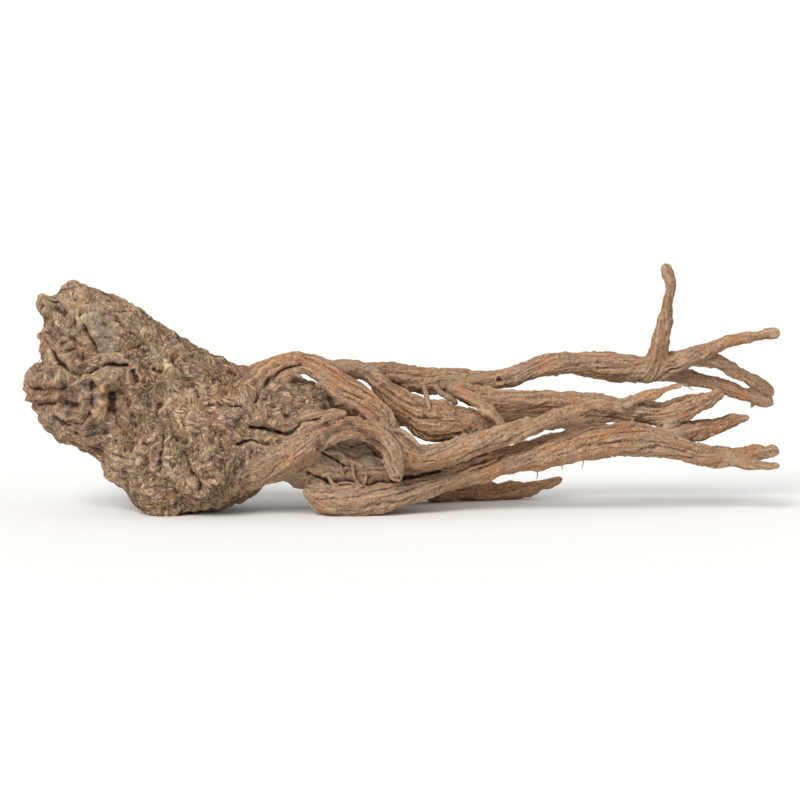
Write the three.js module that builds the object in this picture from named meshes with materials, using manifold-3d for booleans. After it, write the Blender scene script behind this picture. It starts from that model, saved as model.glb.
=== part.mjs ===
// One dried astragalus root, lying on its side: a gnarled crown with two heads at the -X end,
// and the roots that grow from it towards +X. Millimetres, +Z up, and -Y is the side that is seen.
// The whole root grew as one piece, so it is one closed mesh.
import * as THREE from "three";
import { mergeVertices } from "three/addons/utils/BufferGeometryUtils.js";
import Module from "manifold-3d";

const wasm = await Module();
wasm.setup();

const rootLength = 228; // from the tip of the lower head to the ends of the longest roots
const ringSpacing = 4; // between the rings of points along a thin limb
const stoutSpacing = 0.08; // added to it for each millimetre of the limb's greatest radius
const barkColour = "#8f7158";
const barkRoughness = 0.9;
// The middle of the root's box, which the origin is set under.
const boxMiddle = { x: 0, y: 5.8 };

// Each limb is a route of [x, y, z, radius] points through the middle of it.
// sides is how many points go round it, ridges how many long folds its bark has,
// fold how deep they are, and lump how uneven its outline is, both as a share of its radius.
const crown = {
  body: {
    sides: 26, ridges: 5, fold: 0.04, lump: 0.12,
    route: [
      [-92, 1, 29.5, 11], [-84, 0, 26.4, 14.6], [-73, 0, 21.4, 18.4], [-63, 0, 19.6, 20.2],
      [-53, 1, 22, 19], [-43, 0, 25.6, 16.8], [-33, 0, 24.5, 14], [-22, 2, 19, 11],
    ],
  },
  lowHead: {
    sides: 20, ridges: 5, fold: 0.05, lump: 0.13,
    route: [
      [-84, -1, 28.4, 13.2], [-95, -2, 31, 11.6], [-100.5, -2, 33.4, 10.6], [-105.2, -2, 36.6, 8.8],
      [-108, -2, 37.6, 6.9], [-110.8, -2, 38.2, 5.2], [-112.8, -2, 38, 3.7], [-114, -2, 37.3, 2.6],
    ],
  },
  highHead: {
    sides: 22, ridges: 5, fold: 0.05, lump: 0.13,
    route: [
      [-107, 4, 56.4, 9], [-104.6, 4.5, 55.4, 11.4], [-97.5, 5, 54.5, 12.6], [-90, 5, 53, 12.2],
      [-82, 5, 49.6, 11.2], [-73, 5, 44.6, 11], [-62, 4, 37.5, 11.2], [-52, 4, 31, 12],
    ],
  },
  topKnob: {
    sides: 14, ridges: 3, fold: 0.06, lump: 0.12,
    route: [[-94, 5, 56, 8], [-97, 4.5, 62, 6.4], [-98.8, 4, 66.4, 5], [-99.8, 4, 69, 3.6]],
  },
  sideKnob: {
    sides: 12, ridges: 3, fold: 0.06, lump: 0.1,
    route: [[-100, 4.5, 59, 6.5], [-105, 4, 62, 4.8], [-108, 3.5, 64, 3.2], [-110, 3.5, 64.9, 2]],
  },
  bridge: {
    sides: 16, ridges: 4, fold: 0.05, lump: 0.16,
    route: [[-86, 1, 40, 8], [-78, -1, 37, 10.5], [-66, -3, 33.5, 11.6], [-52, -3, 31, 11]],
  },
  shoulder: {
    sides: 16, ridges: 4, fold: 0.05, lump: 0.14,
    route: [[-56, 1, 33, 12.5], [-44, 1, 34, 10.4], [-34, 0, 33, 8.6], [-25.5, 0, 29.6, 6.6]],
  },
  cheek: {
    sides: 14, ridges: 4, fold: 0.06, lump: 0.18,
    route: [
      [-48, -4, 30, 12], [-38, -7, 31.5, 9.6], [-30, -8.5, 33, 7], [-24, -9.5, 33, 4.6],
      [-20.5, -10, 32, 2.8],
    ],
  },
  foot: {
    sides: 16, ridges: 4, fold: 0.06, lump: 0.16,
    route: [[-62, -6, 22, 13], [-58, -11, 16, 10.4], [-55, -14.5, 12, 7.6], [-53.8, -16, 9.4, 5]],
  },
  frontRest: {
    sides: 12, ridges: 3, fold: 0.05, lump: 0.1,
    route: [[-72, -3, 16, 12.5], [-71, -6.5, 7, 9.8], [-71, -8, 0, 7.2]],
  },
  heel: {
    sides: 14, ridges: 3, fold: 0.05, lump: 0.1,
    route: [[-72, 5, 17, 13], [-70, 12, 8, 9], [-69, 14.5, 0, 6]],
  },
  backLobe: {
    sides: 16, ridges: 4, fold: 0.05, lump: 0.16,
    route: [[-92, 7, 41, 9.5], [-79, 9.5, 37, 12.4], [-64, 10, 31, 13], [-50, 9, 25, 11]],
  },
};

const limbs = {
  upperArch: {
    sides: 14, ridges: 3, fold: 0.06, lump: 0.07,
    route: [
      [-47, -3, 36, 7], [-40.5, -7, 40.8, 5.4], [-34.5, -9, 44.6, 4.1], [-29, -10, 45.6, 3.4],
      [-23.4, -11, 43.8, 3.8], [-18, -12, 39.2, 4.2], [-12.6, -12.5, 35.8, 4.3], [-7.5, -12.5, 31.2, 4],
      [-3.6, -12, 25.2, 3.7], [0.4, -11, 19.8, 3.8], [7.5, -9.5, 17.6, 3.8], [15, -8.5, 18.9, 3.9],
      [24, -7.5, 21.6, 3.9], [33, -7.5, 24.4, 3.4], [41, -8.5, 27.2, 2.5], [48, -9.5, 30.4, 2],
      [54.6, -10, 32.2, 1.5], [60.6, -10, 33.4, 0.9],
    ],
  },
  lowerArch: {
    sides: 14, ridges: 3, fold: 0.06, lump: 0.08,
    route: [
      [-47, -5, 15.6, 9], [-38, -9, 17.2, 7.2], [-29.4, -12, 21.6, 5.4], [-21.6, -14, 25.8, 4.1],
      [-13.8, -15.5, 27.2, 3.3], [-7.5, -15.5, 25.2, 3.3], [-3.3, -14.5, 20.8, 3.7],
      [-1.8, -14, 15.6, 3], [-0.8, -14, 11, 1.6],
    ],
  },
  trunk: {
    sides: 18, ridges: 4, fold: 0.06, lump: 0.07,
    route: [
      [-36, 1, 21.4, 12.6], [-23, 2, 16.6, 11.4], [-12, 2, 13, 10], [0, 2, 11.4, 8], [12, 1, 11.4, 5.8],
      [24, 0, 13.6, 4.7], [34.5, -1, 16.4, 4.4], [46.5, -2, 19.4, 4.8], [60, -3, 21.8, 5],
      [70.5, -3, 22.2, 4.8], [80.4, -2, 20.4, 3.8], [90, 0, 17.4, 3], [100.5, 2, 16.4, 2.8],
      [108, 3, 17.6, 2.3], [114, 4, 18.2, 1.8],
    ],
  },
  tailTwig: {
    sides: 8, ridges: 2, fold: 0.06, lump: 0.06,
    route: [[98, 1.5, 16.2, 2.2], [103.5, 0, 14.6, 1.9], [109.5, -2, 14, 1.5], [114, -3, 14.5, 1.1]],
  },
  belly: {
    sides: 14, ridges: 3, fold: 0.06, lump: 0.08,
    route: [
      [-28.4, -9, 8.4, 2.6], [-23.4, -8.5, 6.4, 4.4], [-15, -8, 4.9, 5.3], [-4.5, -7, 5.4, 4.4],
      [6, -5, 7.4, 3.4], [15.6, -3, 9.8, 2.6], [25.5, -1, 12.6, 2],
    ],
  },
  middleRoot: {
    sides: 14, ridges: 3, fold: 0.07, lump: 0.07,
    route: [
      [-23.4, -10, 43.6, 2.9], [-16.5, -8, 44, 2.8], [-9.6, -4, 42.8, 3], [-3, 1, 41.2, 3.6],
      [5.4, 5, 39.5, 3.9], [15, 8, 38.8, 3.7], [24.6, 10, 38.6, 3.2], [33.6, 11, 39.9, 3.2],
      [43.5, 12, 43, 2.9], [52.5, 13, 43.6, 3.3], [63, 14, 42.3, 4.2], [73.5, 14, 41.8, 3.9],
      [83.4, 12, 43.7, 3.2], [91.5, 10, 47.6, 2.6], [99, 8, 50.5, 2.1], [106.8, 6, 52.5, 1.8],
      [114, 4, 53.9, 1.4],
    ],
  },
  rightFork: {
    sides: 10, ridges: 2, fold: 0.06, lump: 0.07,
    route: [
      [86, 11, 45, 2.3], [94.8, 13, 44.6, 2.3], [103.5, 16, 40, 2.1], [109.5, 18, 36.4, 2],
      [114, 20, 33.6, 1.7],
    ],
  },
  uprightTwig: {
    sides: 10, ridges: 2, fold: 0.05, lump: 0.06,
    route: [
      [73, 13, 39, 3.6], [76.6, 12, 43.4, 3.3], [78.8, 10.4, 50, 2.7], [80.1, 9, 57, 2.2],
      [81, 7.5, 63, 1.9], [81.2, 6.5, 68, 1.7], [79.8, 6, 74, 1.4],
    ],
  },
  backFork: {
    sides: 10, ridges: 2, fold: 0.06, lump: 0.07,
    route: [
      [76, 15, 40.8, 2.6], [87, 17, 39.2, 2.5], [96, 18, 36.8, 2.4], [105, 19, 33.4, 2.2],
      [113.8, 20, 30.6, 1.7],
    ],
  },
  stripedRoot: {
    sides: 14, ridges: 4, fold: 0.09, lump: 0.05,
    route: [
      [14.4, 6, 37.2, 2.7], [23.4, 5, 34.3, 2.9], [33, 4, 32.9, 3.2], [45, 4, 32.6, 3.5],
      [57, 4, 32, 3.5], [69, 3, 30.4, 3.6], [79.5, 2, 29.8, 3.6], [88.5, 1, 32, 3.1],
      [96.6, 0, 36.2, 2.2],
    ],
  },
  shortStick: {
    sides: 8, ridges: 2, fold: 0.05, lump: 0.05,
    route: [[67, 0, 32, 1.7], [75, -3, 35.8, 1.5], [84.3, -5, 38.9, 1.3]],
  },
  gnarl: {
    sides: 14, ridges: 3, fold: 0.08, lump: 0.16,
    route: [
      [-9, -7, 42, 2.6], [-3.6, -4, 36.6, 3.6], [2.4, -2, 31.6, 4.7], [9.6, -1, 28, 5.8],
      [17.4, -1, 26.6, 4.9], [23.4, 0, 25.8, 3.2], [27, 0, 25.8, 1.4],
    ],
  },
  crossTwig: {
    sides: 8, ridges: 2, fold: 0.05, lump: 0.06,
    route: [[16.5, 4, 37, 2], [21.6, -1, 34.6, 1.8], [26.4, -4, 31.4, 1.7], [31, -6, 27, 1.5]],
  },
  innerStub: {
    sides: 10, ridges: 2, fold: 0.06, lump: 0.1,
    route: [
      [-34, -12, 26, 4], [-29, -14.6, 28, 3.1], [-24, -16, 30.2, 2.3], [-19, -16.6, 31.6, 1.5],
      [-15.8, -16.6, 32, 0.8],
    ],
  },
  sideTail: {
    sides: 10, ridges: 3, fold: 0.07, lump: 0.1,
    route: [
      [75, -2, 22, 3.2], [85.5, 2, 23.8, 3.2], [94.5, 6, 25, 2.7], [101.4, 8, 26.6, 1.8],
      [105.8, 9, 27.6, 0.8],
    ],
  },
  backRoot: {
    sides: 12, ridges: 3, fold: 0.06, lump: 0.07,
    route: [
      [-50, 9, 31, 11], [-37, 16, 32.5, 7], [-21, 21.5, 31, 5.2], [0, 25, 27.4, 4.2], [22, 27, 24.4, 3.6],
      [42, 27, 24.2, 3], [60, 24.5, 26, 2.3], [75, 22.5, 27, 1.6], [85, 22, 26.6, 0.9],
    ],
  },
  floorRoot: {
    sides: 12, ridges: 3, fold: 0.06, lump: 0.07,
    route: [
      [-32, 7, 16, 9], [-12, 15, 9.4, 5.8], [6, 21, 5.4, 4.4], [20, 26, 3, 3.4], [33, 29.5, 2.4, 2.7],
      [44, 30.6, 4.2, 1.7], [50, 30, 6, 0.9],
    ],
  },
};

// A smooth uneven value from -1 to 1 at a point, with swells about `size` apart.
function uneven(p, size) {
  const x = p.x / size;
  const y = p.y / size;
  const z = p.z / size;
  const a = Math.sin(x * 6.1 + 1.6 * Math.sin(y * 5.3 + 0.7));
  const b = Math.sin(y * 6.7 + 1.5 * Math.sin(z * 5.9 + 2.1));
  const c = Math.sin(z * 6.3 + 1.4 * Math.sin(x * 5.1 + 4.4));
  return (a + b + c) / 3;
}

// A round-ended bar one unit long, bent along the route and swollen to its radii.
function limbGeometry({ route, sides, ridges, fold, lump }) {
  const middle = new THREE.CatmullRomCurve3(
    route.map(([x, y, z]) => new THREE.Vector3(x, y, z)),
    false,
    "centripetal",
  );
  const length = middle.getLength();
  const stoutest = Math.max(...route.map((station) => station[3]));
  const rings = Math.max(5, Math.round(length / (ringSpacing + stoutSpacing * stoutest)));
  const frames = middle.computeFrenetFrames(rings, false);

  const profile = [new THREE.Vector2(0, 0)];
  for (let ring = 0; ring <= rings; ring += 1) profile.push(new THREE.Vector2(1, ring));
  profile.push(new THREE.Vector2(0, rings));
  const bar = new THREE.LatheGeometry(profile, sides);
  bar.deleteAttribute("normal");
  bar.deleteAttribute("uv");

  const radiusAt = (share) => {
    const at = middle.getUtoTmapping(share) * (route.length - 1);
    const before = Math.min(Math.floor(at), route.length - 2);
    return THREE.MathUtils.lerp(route[before][3], route[before + 1][3], at - before);
  };

  const points = bar.getAttribute("position");
  const point = new THREE.Vector3();
  for (let i = 0; i < points.count; i += 1) {
    point.fromBufferAttribute(points, i);
    const ring = Math.round(point.y);
    const share = ring / rings;
    const radius = radiusAt(share);
    const angle = Math.atan2(point.z, point.x);
    const outward = new THREE.Vector3()
      .addScaledVector(frames.normals[ring], Math.cos(angle))
      .addScaledVector(frames.binormals[ring], -Math.sin(angle));
    const onAxis = middle.getPointAt(share);
    const skin = onAxis.clone().addScaledVector(outward, radius);
    const endShare = Math.min(share, 1 - share) * length / (0.7 * radius);
    const rounding = Math.sqrt(THREE.MathUtils.clamp(0.35 + 0.65 * endShare, 0, 1));
    const folds = fold * Math.cos(ridges * angle + share * length * 0.05 + route[0][2]);
    const swell = lump * (0.65 * uneven(skin, 26) + 0.55 * uneven(skin, 14));
    const reach = Math.hypot(point.x, point.z) * radius * rounding * (1 + folds + swell);
    point.copy(onAxis).addScaledVector(outward, reach);
    points.setXYZ(i, point.x, point.y, point.z);
  }
  return mergeVertices(bar, 1e-3);
}

function solidFrom(geometry) {
  return new wasm.Manifold(
    new wasm.Mesh({
      numProp: 3,
      vertProperties: geometry.getAttribute("position").array,
      triVerts: new Uint32Array(geometry.index.array),
    }),
  );
}

function geometryFrom(solid) {
  const { vertProperties, triVerts } = solid.getMesh();
  const geometry = new THREE.BufferGeometry();
  geometry.setAttribute("position", new THREE.BufferAttribute(vertProperties, 3));
  geometry.setIndex(new THREE.BufferAttribute(triVerts, 1));
  geometry.computeVertexNormals();
  return geometry;
}

// What lies below the surface that the root rests on is taken off, which leaves its flat resting spots.
function belowTheSurface() {
  const slabThickness = 20;
  const slab = new THREE.BoxGeometry(2 * rootLength, rootLength, slabThickness);
  slab.translate(0, 0, -slabThickness / 2);
  slab.deleteAttribute("normal");
  slab.deleteAttribute("uv");
  return mergeVertices(slab);
}

function wholeRoot() {
  const grown = [...Object.values(crown), ...Object.values(limbs)];
  const joined = grown.map((limb) => solidFrom(limbGeometry(limb))).reduce((all, next) => all.add(next));
  return geometryFrom(joined.subtract(solidFrom(belowTheSurface())));
}

const bark = new THREE.MeshStandardMaterial({
  color: barkColour,
  roughness: barkRoughness,
  metalness: 0,
});

const root = new THREE.Mesh(wholeRoot(), bark);
root.name = "root";
root.position.set(-boxMiddle.x, -boxMiddle.y, 0);

const part = new THREE.Group();
part.add(root);

export default part;
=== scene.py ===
# One dried astragalus root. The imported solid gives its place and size, and this script gives it its bark.
import itertools
import math

import bmesh
import bpy
import numpy as np
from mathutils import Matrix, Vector
from mathutils.bvhtree import BVHTree


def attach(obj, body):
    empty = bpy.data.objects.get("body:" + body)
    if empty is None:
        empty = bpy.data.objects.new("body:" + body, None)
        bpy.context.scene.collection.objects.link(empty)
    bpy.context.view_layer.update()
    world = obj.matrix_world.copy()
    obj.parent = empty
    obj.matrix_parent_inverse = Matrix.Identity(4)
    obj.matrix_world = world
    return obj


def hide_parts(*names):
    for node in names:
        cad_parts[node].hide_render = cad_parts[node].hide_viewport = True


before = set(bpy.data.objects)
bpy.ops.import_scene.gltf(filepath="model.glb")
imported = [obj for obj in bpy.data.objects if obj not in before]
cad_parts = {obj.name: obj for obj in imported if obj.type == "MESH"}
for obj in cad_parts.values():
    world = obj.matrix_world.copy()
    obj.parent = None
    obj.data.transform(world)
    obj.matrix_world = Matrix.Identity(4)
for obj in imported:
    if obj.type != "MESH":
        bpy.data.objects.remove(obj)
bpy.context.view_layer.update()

mm = 0.001
print("frame loaded")

# The routes of the root's limbs are those of its solid: (x, y, z, radius) in mm, in the root's own frame,
# which rootShape's boxMiddle moves so that the middle of the root's box is over the origin.
crownRoutes = {
    "body": [(-92, 1, 29.5, 11), (-84, 0, 26.4, 14.6), (-73, 0, 21.4, 18.4), (-63, 0, 19.6, 20.2),
        (-53, 1, 22, 19), (-43, 0, 25.6, 16.8), (-33, 0, 24.5, 14), (-22, 2, 19, 11)],
    "lowHead": [(-84, -1, 28.4, 13.2), (-95, -2, 31, 11.6), (-100.5, -2, 33.4, 10.6),
        (-105.2, -2, 36.6, 8.8), (-108, -2, 37.6, 6.9), (-110.8, -2, 38.2, 5.2), (-112.8, -2, 38, 3.7),
        (-114, -2, 37.3, 2.6)],
    "highHead": [(-107, 4, 56.4, 9), (-104.6, 4.5, 55.4, 11.4), (-97.5, 5, 54.5, 12.6), (-90, 5, 53, 12.2),
        (-82, 5, 49.6, 11.2), (-73, 5, 44.6, 11), (-62, 4, 37.5, 11.2), (-52, 4, 31, 12)],
    "topKnob": [(-94, 5, 56, 8), (-97, 4.5, 62, 6.4), (-98.8, 4, 66.4, 5), (-99.8, 4, 69, 3.6)],
    "sideKnob": [(-100, 4.5, 59, 6.5), (-105, 4, 62, 4.8), (-108, 3.5, 64, 3.2), (-110, 3.5, 64.9, 2)],
    "bridge": [(-86, 1, 40, 8), (-78, -1, 37, 10.5), (-66, -3, 33.5, 11.6), (-52, -3, 31, 11)],
    "shoulder": [(-56, 1, 33, 12.5), (-44, 1, 34, 10.4), (-34, 0, 33, 8.6), (-25.5, 0, 29.6, 6.6)],
    "cheek": [(-48, -4, 30, 12), (-38, -7, 31.5, 9.6), (-30, -8.5, 33, 7), (-24, -9.5, 33, 4.6),
        (-20.5, -10, 32, 2.8)],
    "foot": [(-62, -6, 22, 13), (-58, -11, 16, 10.4), (-55, -14.5, 12, 7.6), (-53.8, -16, 9.4, 5)],
    "frontRest": [(-72, -3, 16, 12.5), (-71, -6.5, 7, 9.8), (-71, -8, 0, 7.2)],
    "heel": [(-72, 5, 17, 13), (-70, 12, 8, 9), (-69, 14.5, 0, 6)],
    "backLobe": [(-92, 7, 41, 9.5), (-79, 9.5, 37, 12.4), (-64, 10, 31, 13), (-50, 9, 25, 11)],
}
limbsRoutes = {
    "upperArch": [(-47, -3, 36, 7), (-40.5, -7, 40.8, 5.4), (-34.5, -9, 44.6, 4.1), (-29, -10, 45.6, 3.4),
        (-23.4, -11, 43.8, 3.8), (-18, -12, 39.2, 4.2), (-12.6, -12.5, 35.8, 4.3), (-7.5, -12.5, 31.2, 4),
        (-3.6, -12, 25.2, 3.7), (0.4, -11, 19.8, 3.8), (7.5, -9.5, 17.6, 3.8), (15, -8.5, 18.9, 3.9),
        (24, -7.5, 21.6, 3.9), (33, -7.5, 24.4, 3.4), (41, -8.5, 27.2, 2.5), (48, -9.5, 30.4, 2),
        (54.6, -10, 32.2, 1.5), (60.6, -10, 33.4, 0.9)],
    "lowerArch": [(-47, -5, 15.6, 9), (-38, -9, 17.2, 7.2), (-29.4, -12, 21.6, 5.4),
        (-21.6, -14, 25.8, 4.1), (-13.8, -15.5, 27.2, 3.3), (-7.5, -15.5, 25.2, 3.3),
        (-3.3, -14.5, 20.8, 3.7), (-1.8, -14, 15.6, 3), (-0.8, -14, 11, 1.6)],
    "trunk": [(-36, 1, 21.4, 12.6), (-23, 2, 16.6, 11.4), (-12, 2, 13, 10), (0, 2, 11.4, 8),
        (12, 1, 11.4, 5.8), (24, 0, 13.6, 4.7), (34.5, -1, 16.4, 4.4), (46.5, -2, 19.4, 4.8),
        (60, -3, 21.8, 5), (70.5, -3, 22.2, 4.8), (80.4, -2, 20.4, 3.8), (90, 0, 17.4, 3),
        (100.5, 2, 16.4, 2.8), (108, 3, 17.6, 2.3), (114, 4, 18.2, 1.8)],
    "tailTwig": [(98, 1.5, 16.2, 2.2), (103.5, 0, 14.6, 1.9), (109.5, -2, 14, 1.5), (114, -3, 14.5, 1.1)],
    "belly": [(-28.4, -9, 8.4, 2.6), (-23.4, -8.5, 6.4, 4.4), (-15, -8, 4.9, 5.3), (-4.5, -7, 5.4, 4.4),
        (6, -5, 7.4, 3.4), (15.6, -3, 9.8, 2.6), (25.5, -1, 12.6, 2)],
    "middleRoot": [(-23.4, -10, 43.6, 2.9), (-16.5, -8, 44, 2.8), (-9.6, -4, 42.8, 3), (-3, 1, 41.2, 3.6),
        (5.4, 5, 39.5, 3.9), (15, 8, 38.8, 3.7), (24.6, 10, 38.6, 3.2), (33.6, 11, 39.9, 3.2),
        (43.5, 12, 43, 2.9), (52.5, 13, 43.6, 3.3), (63, 14, 42.3, 4.2), (73.5, 14, 41.8, 3.9),
        (83.4, 12, 43.7, 3.2), (91.5, 10, 47.6, 2.6), (99, 8, 50.5, 2.1), (106.8, 6, 52.5, 1.8),
        (114, 4, 53.9, 1.4)],
    "rightFork": [(86, 11, 45, 2.3), (94.8, 13, 44.6, 2.3), (103.5, 16, 40, 2.1), (109.5, 18, 36.4, 2),
        (114, 20, 33.6, 1.7)],
    "uprightTwig": [(73, 13, 39, 3.6), (76.6, 12, 43.4, 3.3), (78.8, 10.4, 50, 2.7), (80.1, 9, 57, 2.2),
        (81, 7.5, 63, 1.9), (81.2, 6.5, 68, 1.7), (79.8, 6, 74, 1.4)],
    "backFork": [(76, 15, 40.8, 2.6), (87, 17, 39.2, 2.5), (96, 18, 36.8, 2.4), (105, 19, 33.4, 2.2),
        (113.8, 20, 30.6, 1.7)],
    "stripedRoot": [(14.4, 6, 37.2, 2.7), (23.4, 5, 34.3, 2.9), (33, 4, 32.9, 3.2), (45, 4, 32.6, 3.5),
        (57, 4, 32, 3.5), (69, 3, 30.4, 3.6), (79.5, 2, 29.8, 3.6), (88.5, 1, 32, 3.1),
        (96.6, 0, 36.2, 2.2)],
    "shortStick": [(67, 0, 32, 1.7), (75, -3, 35.8, 1.5), (84.3, -5, 38.9, 1.3)],
    "gnarl": [(-9, -7, 42, 2.6), (-3.6, -4, 36.6, 3.6), (2.4, -2, 31.6, 4.7), (9.6, -1, 28, 5.8),
        (17.4, -1, 26.6, 4.9), (23.4, 0, 25.8, 3.2), (27, 0, 25.8, 1.4)],
    "crossTwig": [(16.5, 4, 37, 2), (21.6, -1, 34.6, 1.8), (26.4, -4, 31.4, 1.7), (31, -6, 27, 1.5)],
    "innerStub": [(-34, -12, 26, 4), (-29, -14.6, 28, 3.1), (-24, -16, 30.2, 2.3), (-19, -16.6, 31.6, 1.5),
        (-15.8, -16.6, 32, 0.8)],
    "sideTail": [(75, -2, 22, 3.2), (85.5, 2, 23.8, 3.2), (94.5, 6, 25, 2.7), (101.4, 8, 26.6, 1.8),
        (105.8, 9, 27.6, 0.8)],
    "backRoot": [(-50, 9, 31, 11), (-37, 16, 32.5, 7), (-21, 21.5, 31, 5.2), (0, 25, 27.4, 4.2),
        (22, 27, 24.4, 3.6), (42, 27, 24.2, 3), (60, 24.5, 26, 2.3), (75, 22.5, 27, 1.6),
        (85, 22, 26.6, 0.9)],
    "floorRoot": [(-32, 7, 16, 9), (-12, 15, 9.4, 5.8), (6, 21, 5.4, 4.4), (20, 26, 3, 3.4),
        (33, 29.5, 2.4, 2.7), (44, 30.6, 4.2, 1.7), (50, 30, 6, 0.9)],
}

# Small swellings that close the folds between the crown's lobes, (x, y, z, radius) in the same mm.
swellingRoutes = {
    "brow": [(-99, -2, 46.6, 4.4), (-92, -4, 47, 5), (-85, -5.4, 46.4, 5.4), (-77, -6, 43.6, 5.6)],
    "chin": [(-106, 0, 47, 3.6), (-101, -1, 47.4, 4.6), (-96, -2, 47, 5)],
    "underBrow": [(-103, -4, 40.4, 3.6), (-97, -6, 41, 4.4), (-90, -7, 41, 4.8), (-82, -7, 40.4, 5)],
}

rootShape = {
    "boxMiddle": (0, 5.8),      # mm, along X and Y
    "pathStep": 1.0,            # mm between the places worked out along a limb
    "coarseSkin": 0.6,          # mm, for joining the limbs and rounding where they meet
    "fineSkin": 0.28,           # mm, for the wrinkles
    "crownRounding": 45,        # rounds of smoothing where lobes of the crown meet
    "limbRounding": 5,          # rounds of smoothing everywhere
    "endReach": 0.7,            # of a limb's radius, over which its end is rounded
    "endLeast": 0.35,
    "crownSpread": 2.6,         # mm outside a lobe of the crown over which its hold on the skin fades
    "limbSpread": 0.7,
    "pieces": ("crownHeads", "crownBody", "rootsMiddle", "rootsEnds"),
    "pieceTriangles": 190000,   # at most, in each of these pieces
}


def smoothPath(stations, step):
    # a centripetal Catmull-Rom curve through the stations, with a row every `step` mm
    knots = np.array(stations, float)
    knots = np.vstack([2 * knots[0] - knots[1], knots, 2 * knots[-1] - knots[-2]])
    t = np.linspace(0, 1, 40, endpoint=False)[:, None]
    rows = []
    for a, b, c, d in zip(knots, knots[1:], knots[2:], knots[3:]):
        ab, bc, cd = (np.linalg.norm((q - p)[:3]) ** 0.5 for p, q in ((a, b), (b, c), (c, d)))
        leave = ((b - a) / ab - (c - a) / (ab + bc) + (c - b) / bc) * bc
        arrive = ((c - b) / bc - (d - b) / (bc + cd) + (d - c) / cd) * bc
        rows.append(b + t * leave + t ** 2 * (3 * (c - b) - 2 * leave - arrive)
                    + t ** 3 * (2 * (b - c) + leave + arrive))
    rows.append(knots[-2:-1])
    rows = np.vstack(rows)
    along = np.concatenate([[0], np.cumsum(np.linalg.norm(np.diff(rows[:, :3], axis=0), axis=1))])
    even = np.linspace(0, along[-1], max(8, int(along[-1] / step) + 1))
    return even, np.stack([np.interp(even, along, rows[:, i]) for i in range(4)], axis=1)


def limbFrom(stations, isCrown):
    # a limb's axis, with the directions round it carried along it so that they don't spin
    along, rows = smoothPath(stations, rootShape["pathStep"])
    axis = rows[:, :3]
    tangent = np.gradient(axis, along, axis=0)
    tangent /= np.linalg.norm(tangent, axis=1)[:, None]
    side = np.cross(tangent[0], (0, 0, 1) if abs(tangent[0][2]) < 0.8 else (0, 1, 0))
    sides = []
    for direction in tangent:
        side = side - direction * side.dot(direction)
        side = side / np.linalg.norm(side)
        sides.append(side)
    sides = np.array(sides)
    return {"isCrown": isCrown, "along": along, "axis": axis, "radius": rows[:, 3],
            "tangent": tangent, "side": sides, "up": np.cross(tangent, sides)}


def roundEnded(along, radius, reach, least):
    # the radius along a limb, rounded off over the last `reach` radii of each end, with the square root of
    # `least` of it left at the tip
    ends = np.minimum(along, along[-1] - along) / (reach * radius)
    return radius * np.sqrt(np.clip(least + (1 - least) * ends, 0, 1))


def linked(name, data):
    result = bpy.data.objects.new(name, data)
    bpy.context.scene.collection.objects.link(result)
    return result


def tubesAlong(name, routes, roundness):
    # tubes with closed ends in one curve object, each along a route of (x, y, z, radius) in mm
    curve = bpy.data.curves.new(name, "CURVE")
    curve.dimensions = "3D"
    curve.bevel_depth = mm
    curve.bevel_resolution = roundness
    curve.use_fill_caps = True
    for route in routes:
        spline = curve.splines.new("POLY")
        spline.points.add(len(route) - 1)
        places = np.column_stack([route[:, :3] * mm, np.ones(len(route))])
        spline.points.foreach_set("co", places.ravel())
        spline.points.foreach_set("radius", route[:, 3])
    return linked(name, curve)


def applied(source, name):
    # a new object with the source's modifiers in its mesh, in place of the source
    shape = bpy.data.meshes.new_from_object(source.evaluated_get(bpy.context.evaluated_depsgraph_get()))
    bpy.data.objects.remove(source)
    shape.name = name
    return linked(name, shape)


def remeshed(source, voxel, name):
    # one closed skin round the source, with points `voxel` mm apart
    skin = source.modifiers.new("skin", "REMESH")
    skin.mode = "VOXEL"
    skin.voxel_size = voxel * mm
    return applied(source, name)


def readField(items, field, width, kind=np.float32):
    # one field of all of a mesh's points, edges or faces, in rows of `width` values
    flat = np.empty(len(items) * width, kind)
    items.foreach_get(field, flat)
    return flat.reshape(-1, width)


def pointsOf(mesh):
    # the mesh's points, in mm
    return readField(mesh.vertices, "co", 3, float) / mm


def setPoints(mesh, points):
    mesh.vertices.foreach_set("co", (points * mm).ravel())
    mesh.update()


def normalsOf(mesh):
    return readField(mesh.vertex_normals, "vector", 3).astype(float)


def attributeOf(mesh, name):
    return readField(mesh.attributes[name].data, "value", 1)[:, 0]


def trianglesOf(mesh):
    return len(mesh.loops) - 2 * len(mesh.polygons)


def edgesOf(mesh):
    return readField(mesh.edges, "vertices", 2, np.int32)


def smoothed(values, edges, rounds, share):
    # each round moves every row of values towards the mean of its neighbours by `share`
    a, b = edges.T
    count = len(values)
    neighbours = np.bincount(a, minlength=count) + np.bincount(b, minlength=count)
    values = values.copy()
    columns = values.reshape(count, -1)
    for _ in range(rounds):
        for i in range(columns.shape[1]):
            column = columns[:, i]
            total = np.bincount(a, column[b], count) + np.bincount(b, column[a], count)
            columns[:, i] = column + share * (total / neighbours - column)
    return values


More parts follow.
